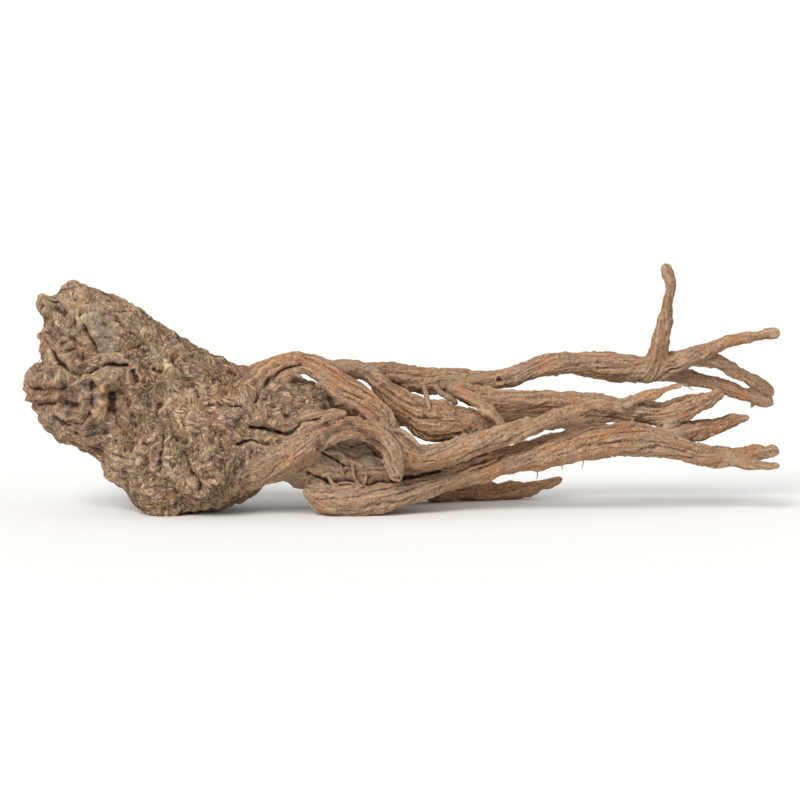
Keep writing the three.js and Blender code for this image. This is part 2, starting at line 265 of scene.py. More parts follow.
def readLimbs(points, limbs):
    # for each limb, the points near it and where they are on it
    readings = []
    for salt, limb in enumerate(limbs):
        reach = limb["radius"].max() + 5
        lowest, highest = limb["axis"].min(axis=0) - reach, limb["axis"].max(axis=0) + reach
        near = np.flatnonzero(np.all((points > lowest) & (points < highest), axis=1))
        p = points[near]
        nearest = np.argmin((limb["axis"] ** 2).sum(axis=1) - 2 * p @ limb["axis"].T, axis=1)
        outward = p - limb["axis"][nearest]
        halfStep = limb["along"][1] / 2
        forward = np.clip((outward * limb["tangent"][nearest]).sum(axis=1), -halfStep, halfStep)
        outward -= forward[:, None] * limb["tangent"][nearest]
        along = limb["along"][nearest] + forward
        away = np.linalg.norm(outward, axis=1)
        radius = np.interp(along, limb["along"], limb["radius"])
        angle = np.arctan2((outward * limb["up"][nearest]).sum(axis=1),
                           (outward * limb["side"][nearest]).sum(axis=1))
        spread = rootShape["crownSpread" if limb["isCrown"] else "limbSpread"]
        hold = np.exp(-(np.maximum(away - radius, 0) / spread) ** 2)
        kept = hold > 0.01
        readings.append({"limb": limb, "salt": salt, "near": near[kept], "along": along[kept],
                         "angle": angle[kept], "radius": radius[kept], "hold": hold[kept]})
    return readings


noiseTable = np.random.default_rng(7).permutation(256)
noiseSlopes = np.random.default_rng(8).normal(size=(256, 3))
noiseSlopes /= np.linalg.norm(noiseSlopes, axis=1)[:, None]
cellPoints = np.random.default_rng(9).random((256, 3))


def tableAt(corner):
    c = corner & 255
    return noiseTable[(noiseTable[(noiseTable[c[:, 0]] + c[:, 1]) & 255] + c[:, 2]) & 255]


def noise(p):
    # smooth uneven values from about -1 to 1, with swells a unit or two apart
    corner = np.floor(p).astype(int)
    inside = p - corner
    ease = inside ** 3 * (inside * (inside * 6 - 15) + 10)
    total = np.zeros(len(p))
    for step in itertools.product((0, 1), repeat=3):
        slope = noiseSlopes[tableAt(corner + step)]
        share = np.where(step, ease, 1 - ease).prod(axis=1)
        total += share * ((inside - step) * slope).sum(axis=1)
    return 1.6 * total


def furrowed(p):
    # broad rounded ridges between narrow furrows: 0 in a furrow, about 1 on a ridge
    return np.minimum(np.abs(noise(p)) * 1.9, 1.1) ** 0.7


def nearestCell(p):
    # which uneven cell each point is in: the way from the cell's middle, and the cell's own number
    corner = np.floor(p).astype(int)
    nearest = np.full(len(p), 9.0)
    way = np.zeros_like(p)
    number = np.zeros(len(p), int)
    for step in itertools.product((-1, 0, 1), repeat=3):
        cell = corner + step
        drawn = tableAt(cell)
        fromMiddle = p - cell - cellPoints[drawn]
        away = (fromMiddle ** 2).sum(axis=1)
        closer = away < nearest
        nearest[closer] = away[closer]
        way[closer] = fromMiddle[closer]
        number[closer] = drawn[closer]
    return way, number


limbBark = {
    "foldWidth": 3.4,           # mm from one broad fold of a limb's bark to the next
    "foldDepth": 0.85,
    "wrinkleWidth": 1.6,        # mm between the long wrinkles
    "wrinkleDepth": 0.46,
    "strandWidth": 0.75,        # mm across the fine strands on the wrinkles
    "strandHeight": 0.3,
    "flakeWidth": 1.8,          # mm across the flakes of loose bark
    "flakeHeight": 1.2,
    "gritWidth": 0.75,
    "gritHeight": 0.16,
    "stretch": 8,               # how many times longer than wide a wrinkle is
    "twist": 0.03,              # radians of turn for each mm along a limb
    "swells": ((9, 0.7), (4, 0.45), (2.3, 0.25)),   # mm along a limb, and mm that its thickness wanders by
    "nubSpacing": 9,            # mm along a limb from one small branch scar to the next
}


def grainPlace(reading):
    # the straightened limb: round it in X and Y, along it in Z, all in mm
    salt = reading["salt"]
    turn = reading["angle"] + limbBark["twist"] * reading["along"] + salt
    return np.column_stack([reading["radius"] * np.cos(turn), reading["radius"] * np.sin(turn),
                            reading["along"] + 37 * salt])


def stretched(place, width, stretch):
    return place / (width, width, width * stretch)


def limbRelief(reading):
    bark = limbBark
    place = grainPlace(reading)
    broadBend = 0.9 * noise(stretched(place, 4, 2))[:, None]
    fineBend = 0.3 * noise(stretched(place, 1.3, 1.6))[:, None]
    place = place + broadBend + fineBend
    stout = np.clip(reading["radius"] / 3.6, 0.3, 1)
    patchy = np.clip(0.9 + 0.9 * noise(place / 7), 0.2, 1.5)
    fold = furrowed(stretched(place, bark["foldWidth"], bark["stretch"]))
    wrinkle = furrowed(stretched(place, bark["wrinkleWidth"], bark["stretch"]) + 11)
    strand = 1 - np.abs(noise(stretched(place, bark["strandWidth"], bark["stretch"]) + 23))
    flake = np.maximum(noise(stretched(place, bark["flakeWidth"], 2) + 47) - 0.25, 0)
    height = stout * bark["foldDepth"] * (fold - 0.6)
    height += stout * patchy * bark["wrinkleDepth"] * (wrinkle - 0.65)
    height += patchy * bark["strandHeight"] * (strand - 0.7)
    height += stout * bark["flakeHeight"] * flake * np.clip(2 * noise(place / 5 + 9), 0, 1)
    height += bark["gritHeight"] * noise(place / bark["gritWidth"] + 61)
    for along, high in bark["swells"]:
        height += high * noise(place / along + 40)
    return height


def lobeRelief(reading):
    # broad ridges that run along a lobe of the crown, and the rings across it that its old shoots left
    place = grainPlace(reading)
    place = place + 1.3 * noise(place / 6)[:, None] + 0.5 * noise(place / 2.2 + 8)[:, None]
    ridges = furrowed(stretched(place, crownBark["ridgeWidth"], 3.5))
    rings = furrowed(stretched(place, crownBark["ringWidth"], 0.3) + 15)
    ringed = np.clip(0.6 + 1.5 * noise(place / 14 + 21), 0, 1)
    return crownBark["ridgeDepth"] * (ridges - 0.6) + crownBark["ringDepth"] * ringed * (rings - 0.6)


def nubRelief(reading):
    # small branch scars: a nub with a dent in its middle
    draw = np.random.default_rng(100 + reading["salt"])
    height = np.zeros(len(reading["near"]))
    for start in np.arange(6, reading["limb"]["along"][-1] - 3, limbBark["nubSpacing"]):
        at = start + draw.uniform(-5, 5)
        turn = draw.uniform(-math.pi, math.pi)
        width = draw.uniform(0.6, 1.5)
        high = draw.uniform(0.3, 0.9)
        sideways = (reading["angle"] - turn + math.pi) % (2 * math.pi) - math.pi
        away = np.hypot((reading["along"] - at) / 1.3, sideways * reading["radius"]) / width
        height += high * (np.exp(-away ** 2) - 0.9 * np.exp(-(2.6 * away) ** 2))
    return height


crownBark = {
    "lumps": ((14, 1.5), (6, 1.3), (2.8, 0.85)),    # mm across, mm high
    "ridgeWidth": 3.8,          # mm between the broad ridges along a lobe
    "ridgeDepth": 0.9,
    "ringWidth": 11,            # mm; the rings lie about a third of this apart
    "ringDepth": 0.6,
    "knobs": 60,
    "knobWidth": (1.4, 3.8),    # mm
    "knobHeight": 1.3,
    # mm across a tuft of fibres, and across its fibres
    "tufts": ((6.5, 0.7), (9, 0.6), (5, 0.85), (7.5, 0.55), (3.6, 0.65)),
    "fibreStretch": 10,         # how many times longer than thick a fibre is
    "tuftHeight": 1.05,
    "flow": (0.3, 0.0, -0.6),   # the way that most fibres lie
    "headEnd": -94,             # mm along X; the heads beyond it have this share of the tufts' height
    "headMat": 0.6,
}


def crownRelief(points, normals):
    # the height, how far out each tuft's fibres are (0 in the gaps between them), its tone, and its grain
    bark = crownBark
    height = np.zeros(len(points))
    for across, high in bark["lumps"]:
        height += high * noise(points / across + across)
    draw = np.random.default_rng(21)
    for _ in range(bark["knobs"]):
        middle = points[draw.integers(len(points))]
        width = draw.uniform(*bark["knobWidth"])
        high = bark["knobHeight"] * draw.uniform(0.3, 1) * width / 3
        dent = draw.choice((0, 0.9))
        near = np.flatnonzero(np.abs(points - middle).max(axis=1) < 3 * width)
        away = np.linalg.norm(points[near] - middle, axis=1) / width + 0.3 * noise(points[near] / 2)
        height[near] += high * (np.exp(-away ** 2) - dent * np.exp(-(2.2 * away) ** 2))
    # a mat of fibres: tufts that lie over each other, each with its own way, the highest one on top
    bent = points + 1.3 * noise(points / 7 + 3)[:, None] + 0.2 * noise(points / 1.6 + 5)[:, None]
    ways = 0.8 * np.random.default_rng(33).normal(size=(256, 3)) + bark["flow"]
    mat, streak, tone = np.zeros((3, len(points)))
    grain = np.zeros_like(points)
    for layer, (tuft, fibre) in enumerate(bark["tufts"]):
        way, number = nearestCell(bent / tuft + 17 * layer)
        lead = ways[number]
        lead = lead - (lead * normals).sum(axis=1)[:, None] * normals
        lead /= np.linalg.norm(lead, axis=1)[:, None] + 1e-9
        inTuft = np.clip(1 - (way ** 2).sum(axis=1) / 0.6, 0, 1) ** 0.5
        # the straightened tuft: across its fibres in X and Y, along them in Z, all in mm
        sideways = np.cross(normals, lead)
        place = tuft * np.column_stack([(way * axis).sum(axis=1) for axis in (sideways, normals, lead)])
        place += (7.3 * number)[:, None]
        fibres = np.clip(0.5 + 0.8 * noise(stretched(place, fibre, bark["fibreStretch"])), 0, 1)
        raised = inTuft * (0.45 + 0.45 * noise(points / 4 + 9 * layer) + 0.4 * fibres)
        onTop = raised > mat
        mat[onTop] = raised[onTop]
        streak[onTop] = fibres[onTop]
        grain[onTop] = place[onTop]
        tone[onTop] = (number[onTop] * 0.618 + 0.37 * layer) % 1
    shaggy = np.clip((points[:, 0] - bark["headEnd"]) / 12, bark["headMat"], 1)
    height += bark["tuftHeight"] * shaggy * (mat - 0.5)
    return height, streak, tone, grain


view = {
    "distance": 1200,           # mm from the camera to the middle of the picture
    "elevation": math.radians(6),
    "pixel": 0.3,               # mm that a pixel of the picture spans there
    "middle": 400,              # pixels from the picture's edges to its middle
    "aim": np.array([0, 0, 33.8]),    # mm, in the root's own frame
    "markDepth": 30,            # mm from the nearest skin under a mark to the furthest that it reaches
    "markReach": 4,             # of a mark's width, on each side of its path
    "markFacing": 0.1,          # how much the bark faces the camera where a mark still shows
}
viewBack = np.array([0, -math.cos(view["elevation"]), math.sin(view["elevation"])])     # towards the camera
viewUp = np.array([0, math.sin(view["elevation"]), math.cos(view["elevation"])])


def picturePlace(points):
    # where points of the root fall in the picture, in pixels
    reach = points - view["aim"]
    pixel = view["pixel"] * (1 - reach @ viewBack / view["distance"])
    return view["middle"] + np.column_stack([reach[:, 0] / pixel, -(reach @ viewUp) / pixel])


# Marks on the bark: what each is, its width in pixels, its height in mm and its share of the colour, and its
# path of (x, y) pixels of the photograph.
barkMarks = {
    "cleft": ("crack", 2.2, 2.0, 1, [(46, 344), (52, 352), (58, 362), (74, 372), (92, 371), (105, 364),
        (127, 365)]),
    "cleftLip": ("ridge", 4.5, 1.5, 1, [(58, 352), (70, 362), (88, 362), (102, 355), (122, 355)]),
    "besideRib": ("crack", 3.2, 0.7, 1, [(110, 385), (113, 401), (115, 416), (120, 432)]),
    "headRib": ("ridge", 5, 2.0, 1, [(102, 386), (101, 398), (103, 414)]),
    "leftOfRib": ("crack", 3, 0.8, 1, [(93, 384), (92, 400), (94, 418)]),
    "tipRib": ("ridge", 3.2, 1.5, 1, [(22, 400), (40, 398), (64, 397)]),
    "overTip": ("crack", 2.6, 1.2, 1, [(28, 388), (44, 389), (64, 386)]),
    "underTip": ("crack", 2.4, 1.0, 1, [(34, 405), (46, 404), (56, 404)]),
    "topRib": ("ridge", 3, 1.1, 1, [(34, 382), (48, 372), (60, 368)]),
    "innerRing": ("ridge", 2.6, 1.3, 1, [(56, 411), (66, 420), (78, 417), (84, 406)]),
    "ringGroove": ("crack", 2.2, 1.1, 1, [(54, 419), (66, 427), (82, 424), (90, 414)]),
    "outerRing": ("ridge", 2.8, 1.1, 1, [(60, 434), (78, 441), (98, 440)]),
    "pitCrease": ("crack", 2.2, 1.3, 1, [(202, 407), (221, 404), (241, 406)]),
    "overFootFold": ("ridge", 5, 1.2, 1, [(256, 419), (274, 420), (288, 422)]),
    "footFold": ("crack", 2.6, 2.2, 1, [(252, 427), (270, 430), (283, 434), (294, 430), (300, 422),
        (318, 420)]),
    "footLine": ("crack", 2, 1.2, 1, [(236, 445), (252, 441), (268, 443)]),
    "headLine": ("crack", 2, 1.1, 1, [(116, 352), (130, 349), (146, 344)]),
    "headRing": ("crack", 2, 1.0, 1, [(62, 335), (74, 339), (84, 348), (82, 360)]),
    "topRing": ("crack", 2, 0.8, 1, [(46, 300), (58, 300), (66, 312), (58, 322)]),
    "longFlake": ("ridge", 2.8, 1.3, 1, [(158, 428), (154, 446), (151, 468)]),
    "besideFlake": ("crack", 2.4, 1.1, 1, [(166, 424), (162, 446), (158, 470)]),
    "footFlake": ("ridge", 3, 1.4, 1, [(196, 462), (204, 478), (213, 491)]),
    "besideFoot": ("crack", 3, 1.6, 1, [(184, 452), (192, 470), (200, 486)]),
    "midFlake": ("ridge", 3.4, 1.2, 1, [(176, 398), (167, 408), (161, 418)]),
    "deepPit": ("pit", 3.6, 1.0, 1, [(214, 382), (219, 381)]),
    "smallPit": ("pit", 2.6, 0.8, 1, [(229, 373), (234, 375)]),
    "middlePit": ("pit", 3.4, 1.1, 1, [(132, 372), (136, 382)]),
    "upperPit": ("pit", 2.6, 1.1, 1, [(154, 369), (161, 373)]),
    "lowPit": ("pit", 3, 0.9, 1, [(178, 440), (186, 442)]),
    "headPit": ("pit", 4, 0.3, 1, [(56, 308), (64, 312)]),
    "cheekPit": ("pit", 3, 0.4, 1, [(68, 350), (75, 348)]),
    "headKnot": ("pit", 5.5, 1.1, 1, [(66, 402), (74, 403)]),
    "middleKnot": ("knot", 10, 1.2, 1, [(148, 384)]),
    # painted light: the lit patch on the high head
    "palePatch": ("pale", 15, 0.5, 1, [(98, 316), (108, 334), (102, 348)]),
    # chips: raised flakes, each painted with a bright highlight
    "paleSpot": ("chip", 4.2, 0.8, 1, [(166, 368), (170, 373)]),
    "goldFlake": ("chip", 2.6, 0.9, 1, [(170, 400), (165, 406), (161, 411)]),
    "paleSliver": ("chip", 1.8, 0.8, 1, [(189, 432), (192, 440)]),
    "goldPatch": ("chip", 2, 0.4, 1, [(56, 322), (60, 326)]),
    "goldEdge": ("chip", 2.2, 0.4, 1, [(176, 418), (181, 426)]),
    "tipRust": ("rust", 11, 0, 1, [(24, 398), (40, 390), (56, 392)]),
    "ribRust": ("rust", 6, 0, 1, [(103, 388), (102, 400), (104, 412)]),
    "lipRust": ("rust", 7, 0, 1, [(86, 360), (98, 354)]),
    "kneeRust": ("rust", 9, 0, 1, [(222, 392), (240, 372), (262, 366)]),
    "kneeRidge": ("ridge", 4, 1.2, 1, [(300, 357), (276, 362), (256, 374), (243, 392)]),
    "kneeCrack": ("crack", 2.4, 1.2, 1, [(300, 366), (280, 372), (264, 384), (254, 400)]),
    "innerKnee": ("ridge", 3.4, 1.0, 1, [(296, 374), (280, 384), (270, 398), (268, 412)]),
    "bodyFold": ("crack", 3, 1.2, 1, [(128, 398), (134, 420), (130, 448)]),
    "bodyRidge": ("ridge", 5, 1.2, 1, [(142, 404), (146, 428), (140, 456)]),
    "upperFold": ("crack", 2.6, 1.0, 1, [(172, 366), (190, 378), (200, 396)]),
    "lowHeadShade": ("shade", 27, 0, 0.56, [(48, 396), (78, 408), (96, 436)]),
    "highHeadShade": ("shade", 27, 0, 0.46, [(58, 318), (84, 350), (130, 346)]),
    "cheekRing": ("crack", 1.6, 0.4, 1, [(60, 344), (70, 340), (80, 346), (78, 356)]),
    "browFold": ("crack", 1.8, 0.8, 1, [(84, 326), (92, 340), (98, 352)]),
    "browRidge": ("ridge", 3, 0.9, 1, [(76, 314), (82, 330), (90, 346)]),
    "backFold": ("crack", 1.8, 0.8, 1, [(116, 316), (124, 330), (140, 338)]),
    "headGold": ("chip", 3, 0.2, 0.5, [(124, 318), (130, 322)]),
    "browRust": ("rust", 5, 0, 1, [(52, 336), (60, 344)]),
    "leftShade": ("shade", 10, 0, 0.55, [(48, 306), (52, 330), (62, 346)]),
    "noseShade": ("shade", 8, 0, 0.55, [(58, 382), (78, 390), (90, 384)]),
    "neckShade": ("shade", 12, 0, 0.55, [(116, 384), (120, 416), (126, 446)]),
    "midShade": ("shade", 14, 0, 0.62, [(138, 420), (146, 396), (180, 384)]),
    "archShade": ("shade", 6, 0, 0.75, [(318, 446), (332, 430), (350, 424), (368, 432), (382, 450)]),
    "chinShade": ("shade", 10, 0, 0.55, [(60, 420), (80, 428), (92, 420)]),
    "footShade": ("shade", 9, 0, 0.55, [(168, 424), (178, 436), (188, 462)]),
    "stumpScar": ("pit", 2.4, 0.9, 1, [(499, 380), (500, 381)]),
    "bentScar": ("pit", 2, 0.7, 1, [(370, 352), (371, 354)]),
    # painted light coming up from below onto the belly, with greyer bark
    "bellyPale": ("pale", 15, 0, 0.7, [(326, 492), (370, 500), (424, 490)]),
    "hollowPale": ("pale", 13, 0, 0.9, [(334, 440), (352, 452), (376, 462)]),
    "trunkPale": ("pale", 9, 0, 0.6, [(404, 452), (440, 446), (476, 436)]),
    "hollowCrack": ("crack", 1.6, 1.0, 1, [(352, 446), (366, 442), (377, 455)]),
    "hollowSplit": ("crack", 1.6, 1.0, 1, [(318, 450), (330, 456), (344, 466)]),
    "bellyLine": ("crack", 2, 1.4, 1, [(308, 474), (330, 480), (368, 484), (404, 478), (440, 470)]),
    "hollowRidge": ("ridge", 2.6, 0.9, 1, [(336, 446), (344, 458), (360, 466)]),
    "archRust": ("rust", 9, 0, 0.7, [(300, 360), (328, 370), (350, 392), (370, 420)]),
}


def markBark(points, normals):
    # the marks' height in mm, and how dark (painted shade), warm, pale (paler bark, in places painted light)
    # and golden (a painted highlight on raised flakes) they are
    pictured = picturePlace(points)
    facing = normals @ viewBack > view["markFacing"]
    nearness = points @ viewBack
    height, dark, warm, pale, gold = np.zeros((5, len(points)))
    tints = {"pale": pale, "chip": gold, "rust": warm, "shade": dark}
    for kind, width, high, share, path in barkMarks.values():
        path = np.array(path, float)
        reach = view["markReach"] * width
        inside = (pictured > path.min(axis=0) - reach) & (pictured < path.max(axis=0) + reach)
        near = np.flatnonzero(facing & np.all(inside, axis=1))
        # only on the front skin there, and not on a limb behind it
        near = near[nearness[near] > nearness[near].max() - view["markDepth"]]
        wander = 0.5 * width + 0.6
        wandered = [noise(points[near] / 2.4 + 5), noise(points[near] / 2.4 + 80)]
        p = pictured[near] + wander * np.column_stack(wandered)
        away = np.linalg.norm(p - path[0], axis=1)
        for a, b in zip(path, path[1:]):
            along = np.clip((p - a) @ (b - a) / ((b - a) @ (b - a)), 0, 1)
            away = np.minimum(away, np.linalg.norm(p - a - along[:, None] * (b - a), axis=1))
        away /= width
        fade = np.exp(-away ** 2) * np.clip(0.9 + 0.6 * noise(points[near] / 3 + 60), 0.3, 1)
        if kind == "crack":
            height[near] -= high * fade
            # the crack is painted darker inside: painted shade
            dark[near] = np.maximum(dark[near], 0.8 * share * fade ** 2)
        elif kind == "ridge":
            height[near] += high * fade
            warm[near] = np.maximum(warm[near], 0.6 * share * fade)
        elif kind == "pit":
            rim = np.exp(-(away - 1.5) ** 2 * 4)
            height[near] += high * (0.5 * rim - fade)
            # the pit is painted darker inside: painted shade; its rim is warmer
            dark[near] = np.maximum(dark[near], share * fade)
            warm[near] = np.maximum(warm[near], 0.6 * share * np.exp(-(away - 1.6) ** 2 * 3))
        elif kind == "knot":
            rings = np.cos(away * 4 * math.pi)
            height[near] += high * (0.6 * fade + 0.4 * np.exp(-away ** 4) * rings)
            # painted shade in the grooves between the knot's rings
            dark[near] = np.maximum(dark[near], 0.5 * share * fade * (0.5 - 0.5 * rings))
        else:
            # pale marks are paler bark, and palePatch and bellyPale are painted light; a chip is a raised
            # flake with a painted highlight; a shade mark is painted shade
            height[near] += high * fade
            tints[kind][near] = np.maximum(tints[kind][near], share * fade)
    return height, dark, warm, pale, gold


def addAttribute(mesh, name, values):
    kind, field = ("FLOAT", "value") if values.ndim == 1 else ("FLOAT_VECTOR", "vector")
    mesh.attributes.new(name, kind, "POINT").data.foreach_set(field, values.ravel())


def joinLimbs(limbs):
    # the limbs as one skin, rounded where lobes of the crown meet
    ends = rootShape["endReach"], rootShape["endLeast"]
    routes = [np.column_stack([limb["axis"], roundEnded(limb["along"], limb["radius"], *ends)])
              for limb in limbs]
    skin = remeshed(tubesAlong("limbTubes", routes, 10), rootShape["coarseSkin"], "root")
    edges = edgesOf(skin.data)
    points = smoothed(pointsOf(skin.data), edges, 2, 0.5)
    crownHold = np.zeros(len(points))
    for reading in readLimbs(points, limbs):
        if reading["limb"]["isCrown"]:
            crownHold[reading["near"]] = np.maximum(crownHold[reading["near"]], reading["hold"])
    setPoints(skin.data, smoothed(points, edges, rootShape["crownRounding"], 0.6 * crownHold))
    print("limbs joined,", len(points), "points")
    return skin


def shapeRoot():
    limbs = [limbFrom(stations, True) for stations in {**crownRoutes, **swellingRoutes}.values()]
    limbs += [limbFrom(stations, False) for stations in limbsRoutes.values()]
    root = remeshed(joinLimbs(limbs), rootShape["fineSkin"], "astragalusRoot")
    edges = edgesOf(root.data)
    points = smoothed(pointsOf(root.data), edges, rootShape["limbRounding"], 0.5)
    setPoints(root.data, points)
    normals = normalsOf(root.data)
    readings = readLimbs(points, limbs)
    count = len(points)
    total = np.full(count, 1e-6)
    crownShare = np.zeros(count)
    for reading in readings:
        held = np.bincount(reading["near"], reading["hold"], count)
        total += held
        crownShare += held * reading["limb"]["isCrown"]
    crownShare /= total

    # how far the bark stands out at each point, and the limb that its grain follows there
    height = np.zeros(count)
    grain = np.zeros((count, 3))
    grainHold = np.zeros(count)
    for reading in readings:
        near = reading["near"]
        share = reading["hold"] / total[near]
        if reading["limb"]["isCrown"]:
            height += np.bincount(near, share * lobeRelief(reading), count)
            continue
        height += np.bincount(near, share * (limbRelief(reading) + nubRelief(reading)), count)
        leads = share > grainHold[near]
        grain[near[leads]] = grainPlace(reading)[leads]
        grainHold[near[leads]] = share[leads]
    markHeight, dark, warm, pale, gold = markBark(points, normals)
    onCrown = np.flatnonzero(crownShare > 0.02)
    relief, streak, tone = np.full((3, count), 0.5)
    matted = crownRelief(points[onCrown], normals[onCrown])
    relief[onCrown], streak[onCrown], tone[onCrown], tufted = matted
    height += crownShare * (1 - 0.5 * pale) * relief
    grain[onCrown] = np.where(crownShare[onCrown, None] > 0.5, tufted, grain[onCrown])
    points = points + (height + markHeight)[:, None] * normals
    # what would sink below the surface that the root rests on is pressed flat against it
    points[:, 2] = np.maximum(points[:, 2], 0.02 * np.tanh(points[:, 2]))
    setPoints(root.data, points)
    print("bark raised,", count, "points")

    normals = normalsOf(root.data)
    # how far each point lies below the skin around it, over about 1 mm and over about 3 mm: the depths by
    # which the bark is painted with shade in its hollows and a highlight on its ridges
    rounds = round((0.75 / rootShape["fineSkin"]) ** 2)
    skinNear = smoothed(points, edges, rounds, 0.7)
    skinAround = smoothed(skinNear, edges, 7 * rounds, 0.9)
    looks = {
        "furrow": ((skinNear - points) * normals).sum(axis=1),
        "creaseShade": ((skinAround - points) * normals).sum(axis=1),
        "crownShare": crownShare, "grainHold": np.clip(grainHold * 2 - 1, 0, 1), "grainPlace": grain,
        "markShade": dark, "markWarm": warm, "markPaleAndLit": pale, "markFlakeHighlight": gold,
        "streak": streak, "tuftTone": tone,
    }
    for name, values in looks.items():
        addAttribute(root.data, name, values)
    setPoints(root.data, points - (*rootShape["boxMiddle"], 0))

    triangles = 2 * len(root.data.polygons)
    thin = root.modifiers.new("thin", "DECIMATE")
    thin.ratio = min(1, rootShape["pieceTriangles"] * len(rootShape["pieces"]) / triangles)
    root = applied(root, "astragalusRoot")
    root.data.shade_smooth()
    print("root has", len(root.data.polygons), "faces")
    return root


def cutPieces(root):
    # the root as pieces side by side along X, each light enough to keep its fine bark, with a flat closed
    # face where two of them meet
    names = rootShape["pieces"]
    middles = readField(root.data.polygons, "center", 3)[:, 0]
    corners = readField(root.data.polygons, "loop_total", 1, np.int32)[:, 0]
    order = np.argsort(middles)
    heaped = np.cumsum(corners[order] - 2)
    shares = np.arange(1, len(names)) / len(names)
    cuts = middles[order][np.searchsorted(heaped, shares * heaped[-1])]
    pieces = []
    for number, name in enumerate(names):
        shape = bmesh.new()
        shape.from_mesh(root.data)
        for at, outward in ((number - 1, -1), (number, 1)):
            if not 0 <= at < len(cuts):
                continue
            geometry = shape.verts[:] + shape.edges[:] + shape.faces[:]
            cut = bmesh.ops.bisect_plane(shape, geom=geometry, dist=1e-8, plane_co=(cuts[at], 0, 0),
                                         plane_no=(outward, 0, 0), clear_outer=True)
            rim = [part for part in cut["geom_cut"] if isinstance(part, bmesh.types.BMEdge)]
            bmesh.ops.holes_fill(shape, edges=rim, sides=0)
            for edge in rim:
                edge.smooth = False
        piece = linked(name, bpy.data.meshes.new(name))
        shape.to_mesh(piece.data)
        shape.free()
        pieces.append(piece)
        print(name, "has", trianglesOf(piece.data), "triangles")
    bpy.data.objects.remove(root)
    return pieces


fibreLook = {
    "count": 4800,
    "length": (2, 6.5),         # mm
    "radius": (0.06, 0.14),     # mm
    "taper": (0.35, 0.9, 1, 0.8, 0.3),      # its share of the radius at each step along a fibre
    "lift": (0.0, 0.22),        # mm that a fibre's middle stands off the bark
    "raised": (-0.6, 0.6, 1, 0.7, -0.3),    # its share of the lift at each step
    "leastStep": 0.1,           # mm
    "wander": 0.175,            # how much a fibre turns at each step
    "bodyStart": -84,           # mm along X, where the heads with few fibres end
}


def layFibres(root):
    # the crown's loose fibres: each creeps along the bark from where it is drawn, with its ends sunk in
    look = fibreLook
    draw = np.random.default_rng(71)
    skin = BVHTree.FromObject(root, bpy.context.evaluated_depsgraph_get())
    points = pointsOf(root.data)
    crownShare = attributeOf(root.data, "crownShare")
    dense = np.clip(0.35 + 1.2 * noise(points / 8 + 90), 0.05, 1) * (crownShare > 0.6) * (points[:, 2] > 1.5)
    dense *= np.where(points[:, 0] > look["bodyStart"], 1, 0.25)
    starts = draw.choice(len(points), look["count"], replace=False, p=dense / dense.sum())
    routes = []
    for start in starts:
        way = Vector(draw.normal(size=3) * 0.7 + crownBark["flow"])
        stride = draw.uniform(*look["length"]) / (len(look["taper"]) - 1)
        lift = draw.uniform(*look["lift"])
        thick = draw.uniform(*look["radius"])
        place = Vector(points[start])
        route = []
        for share, raised in zip(look["taper"], look["raised"]):
            met, normal, _, _ = skin.find_nearest(place * mm)
            place = met / mm + normal * lift * raised
            route.append((*place, thick * share))
            way -= normal * way.dot(normal)
            way.normalize()
            place = place + way * stride
            way += Vector(draw.normal(size=3)) * look["wander"]
        # a fibre that is caught in a pore, so that two of its places fall together, is left out
        if min(math.dist(a[:3], b[:3]) for a, b in zip(route, route[1:])) >= look["leastStep"]:
            routes.append(np.array(route))
    fibres = applied(tubesAlong("crownFibres", routes, 0), "crownFibres")
    fibres.data.shade_smooth()
    each = len(fibres.data.vertices) // len(routes)
    addAttribute(fibres.data, "tone", np.repeat(draw.random(len(routes)), each))
    print(len(routes), "fibres have", trianglesOf(fibres.data), "triangles")
    return fibres


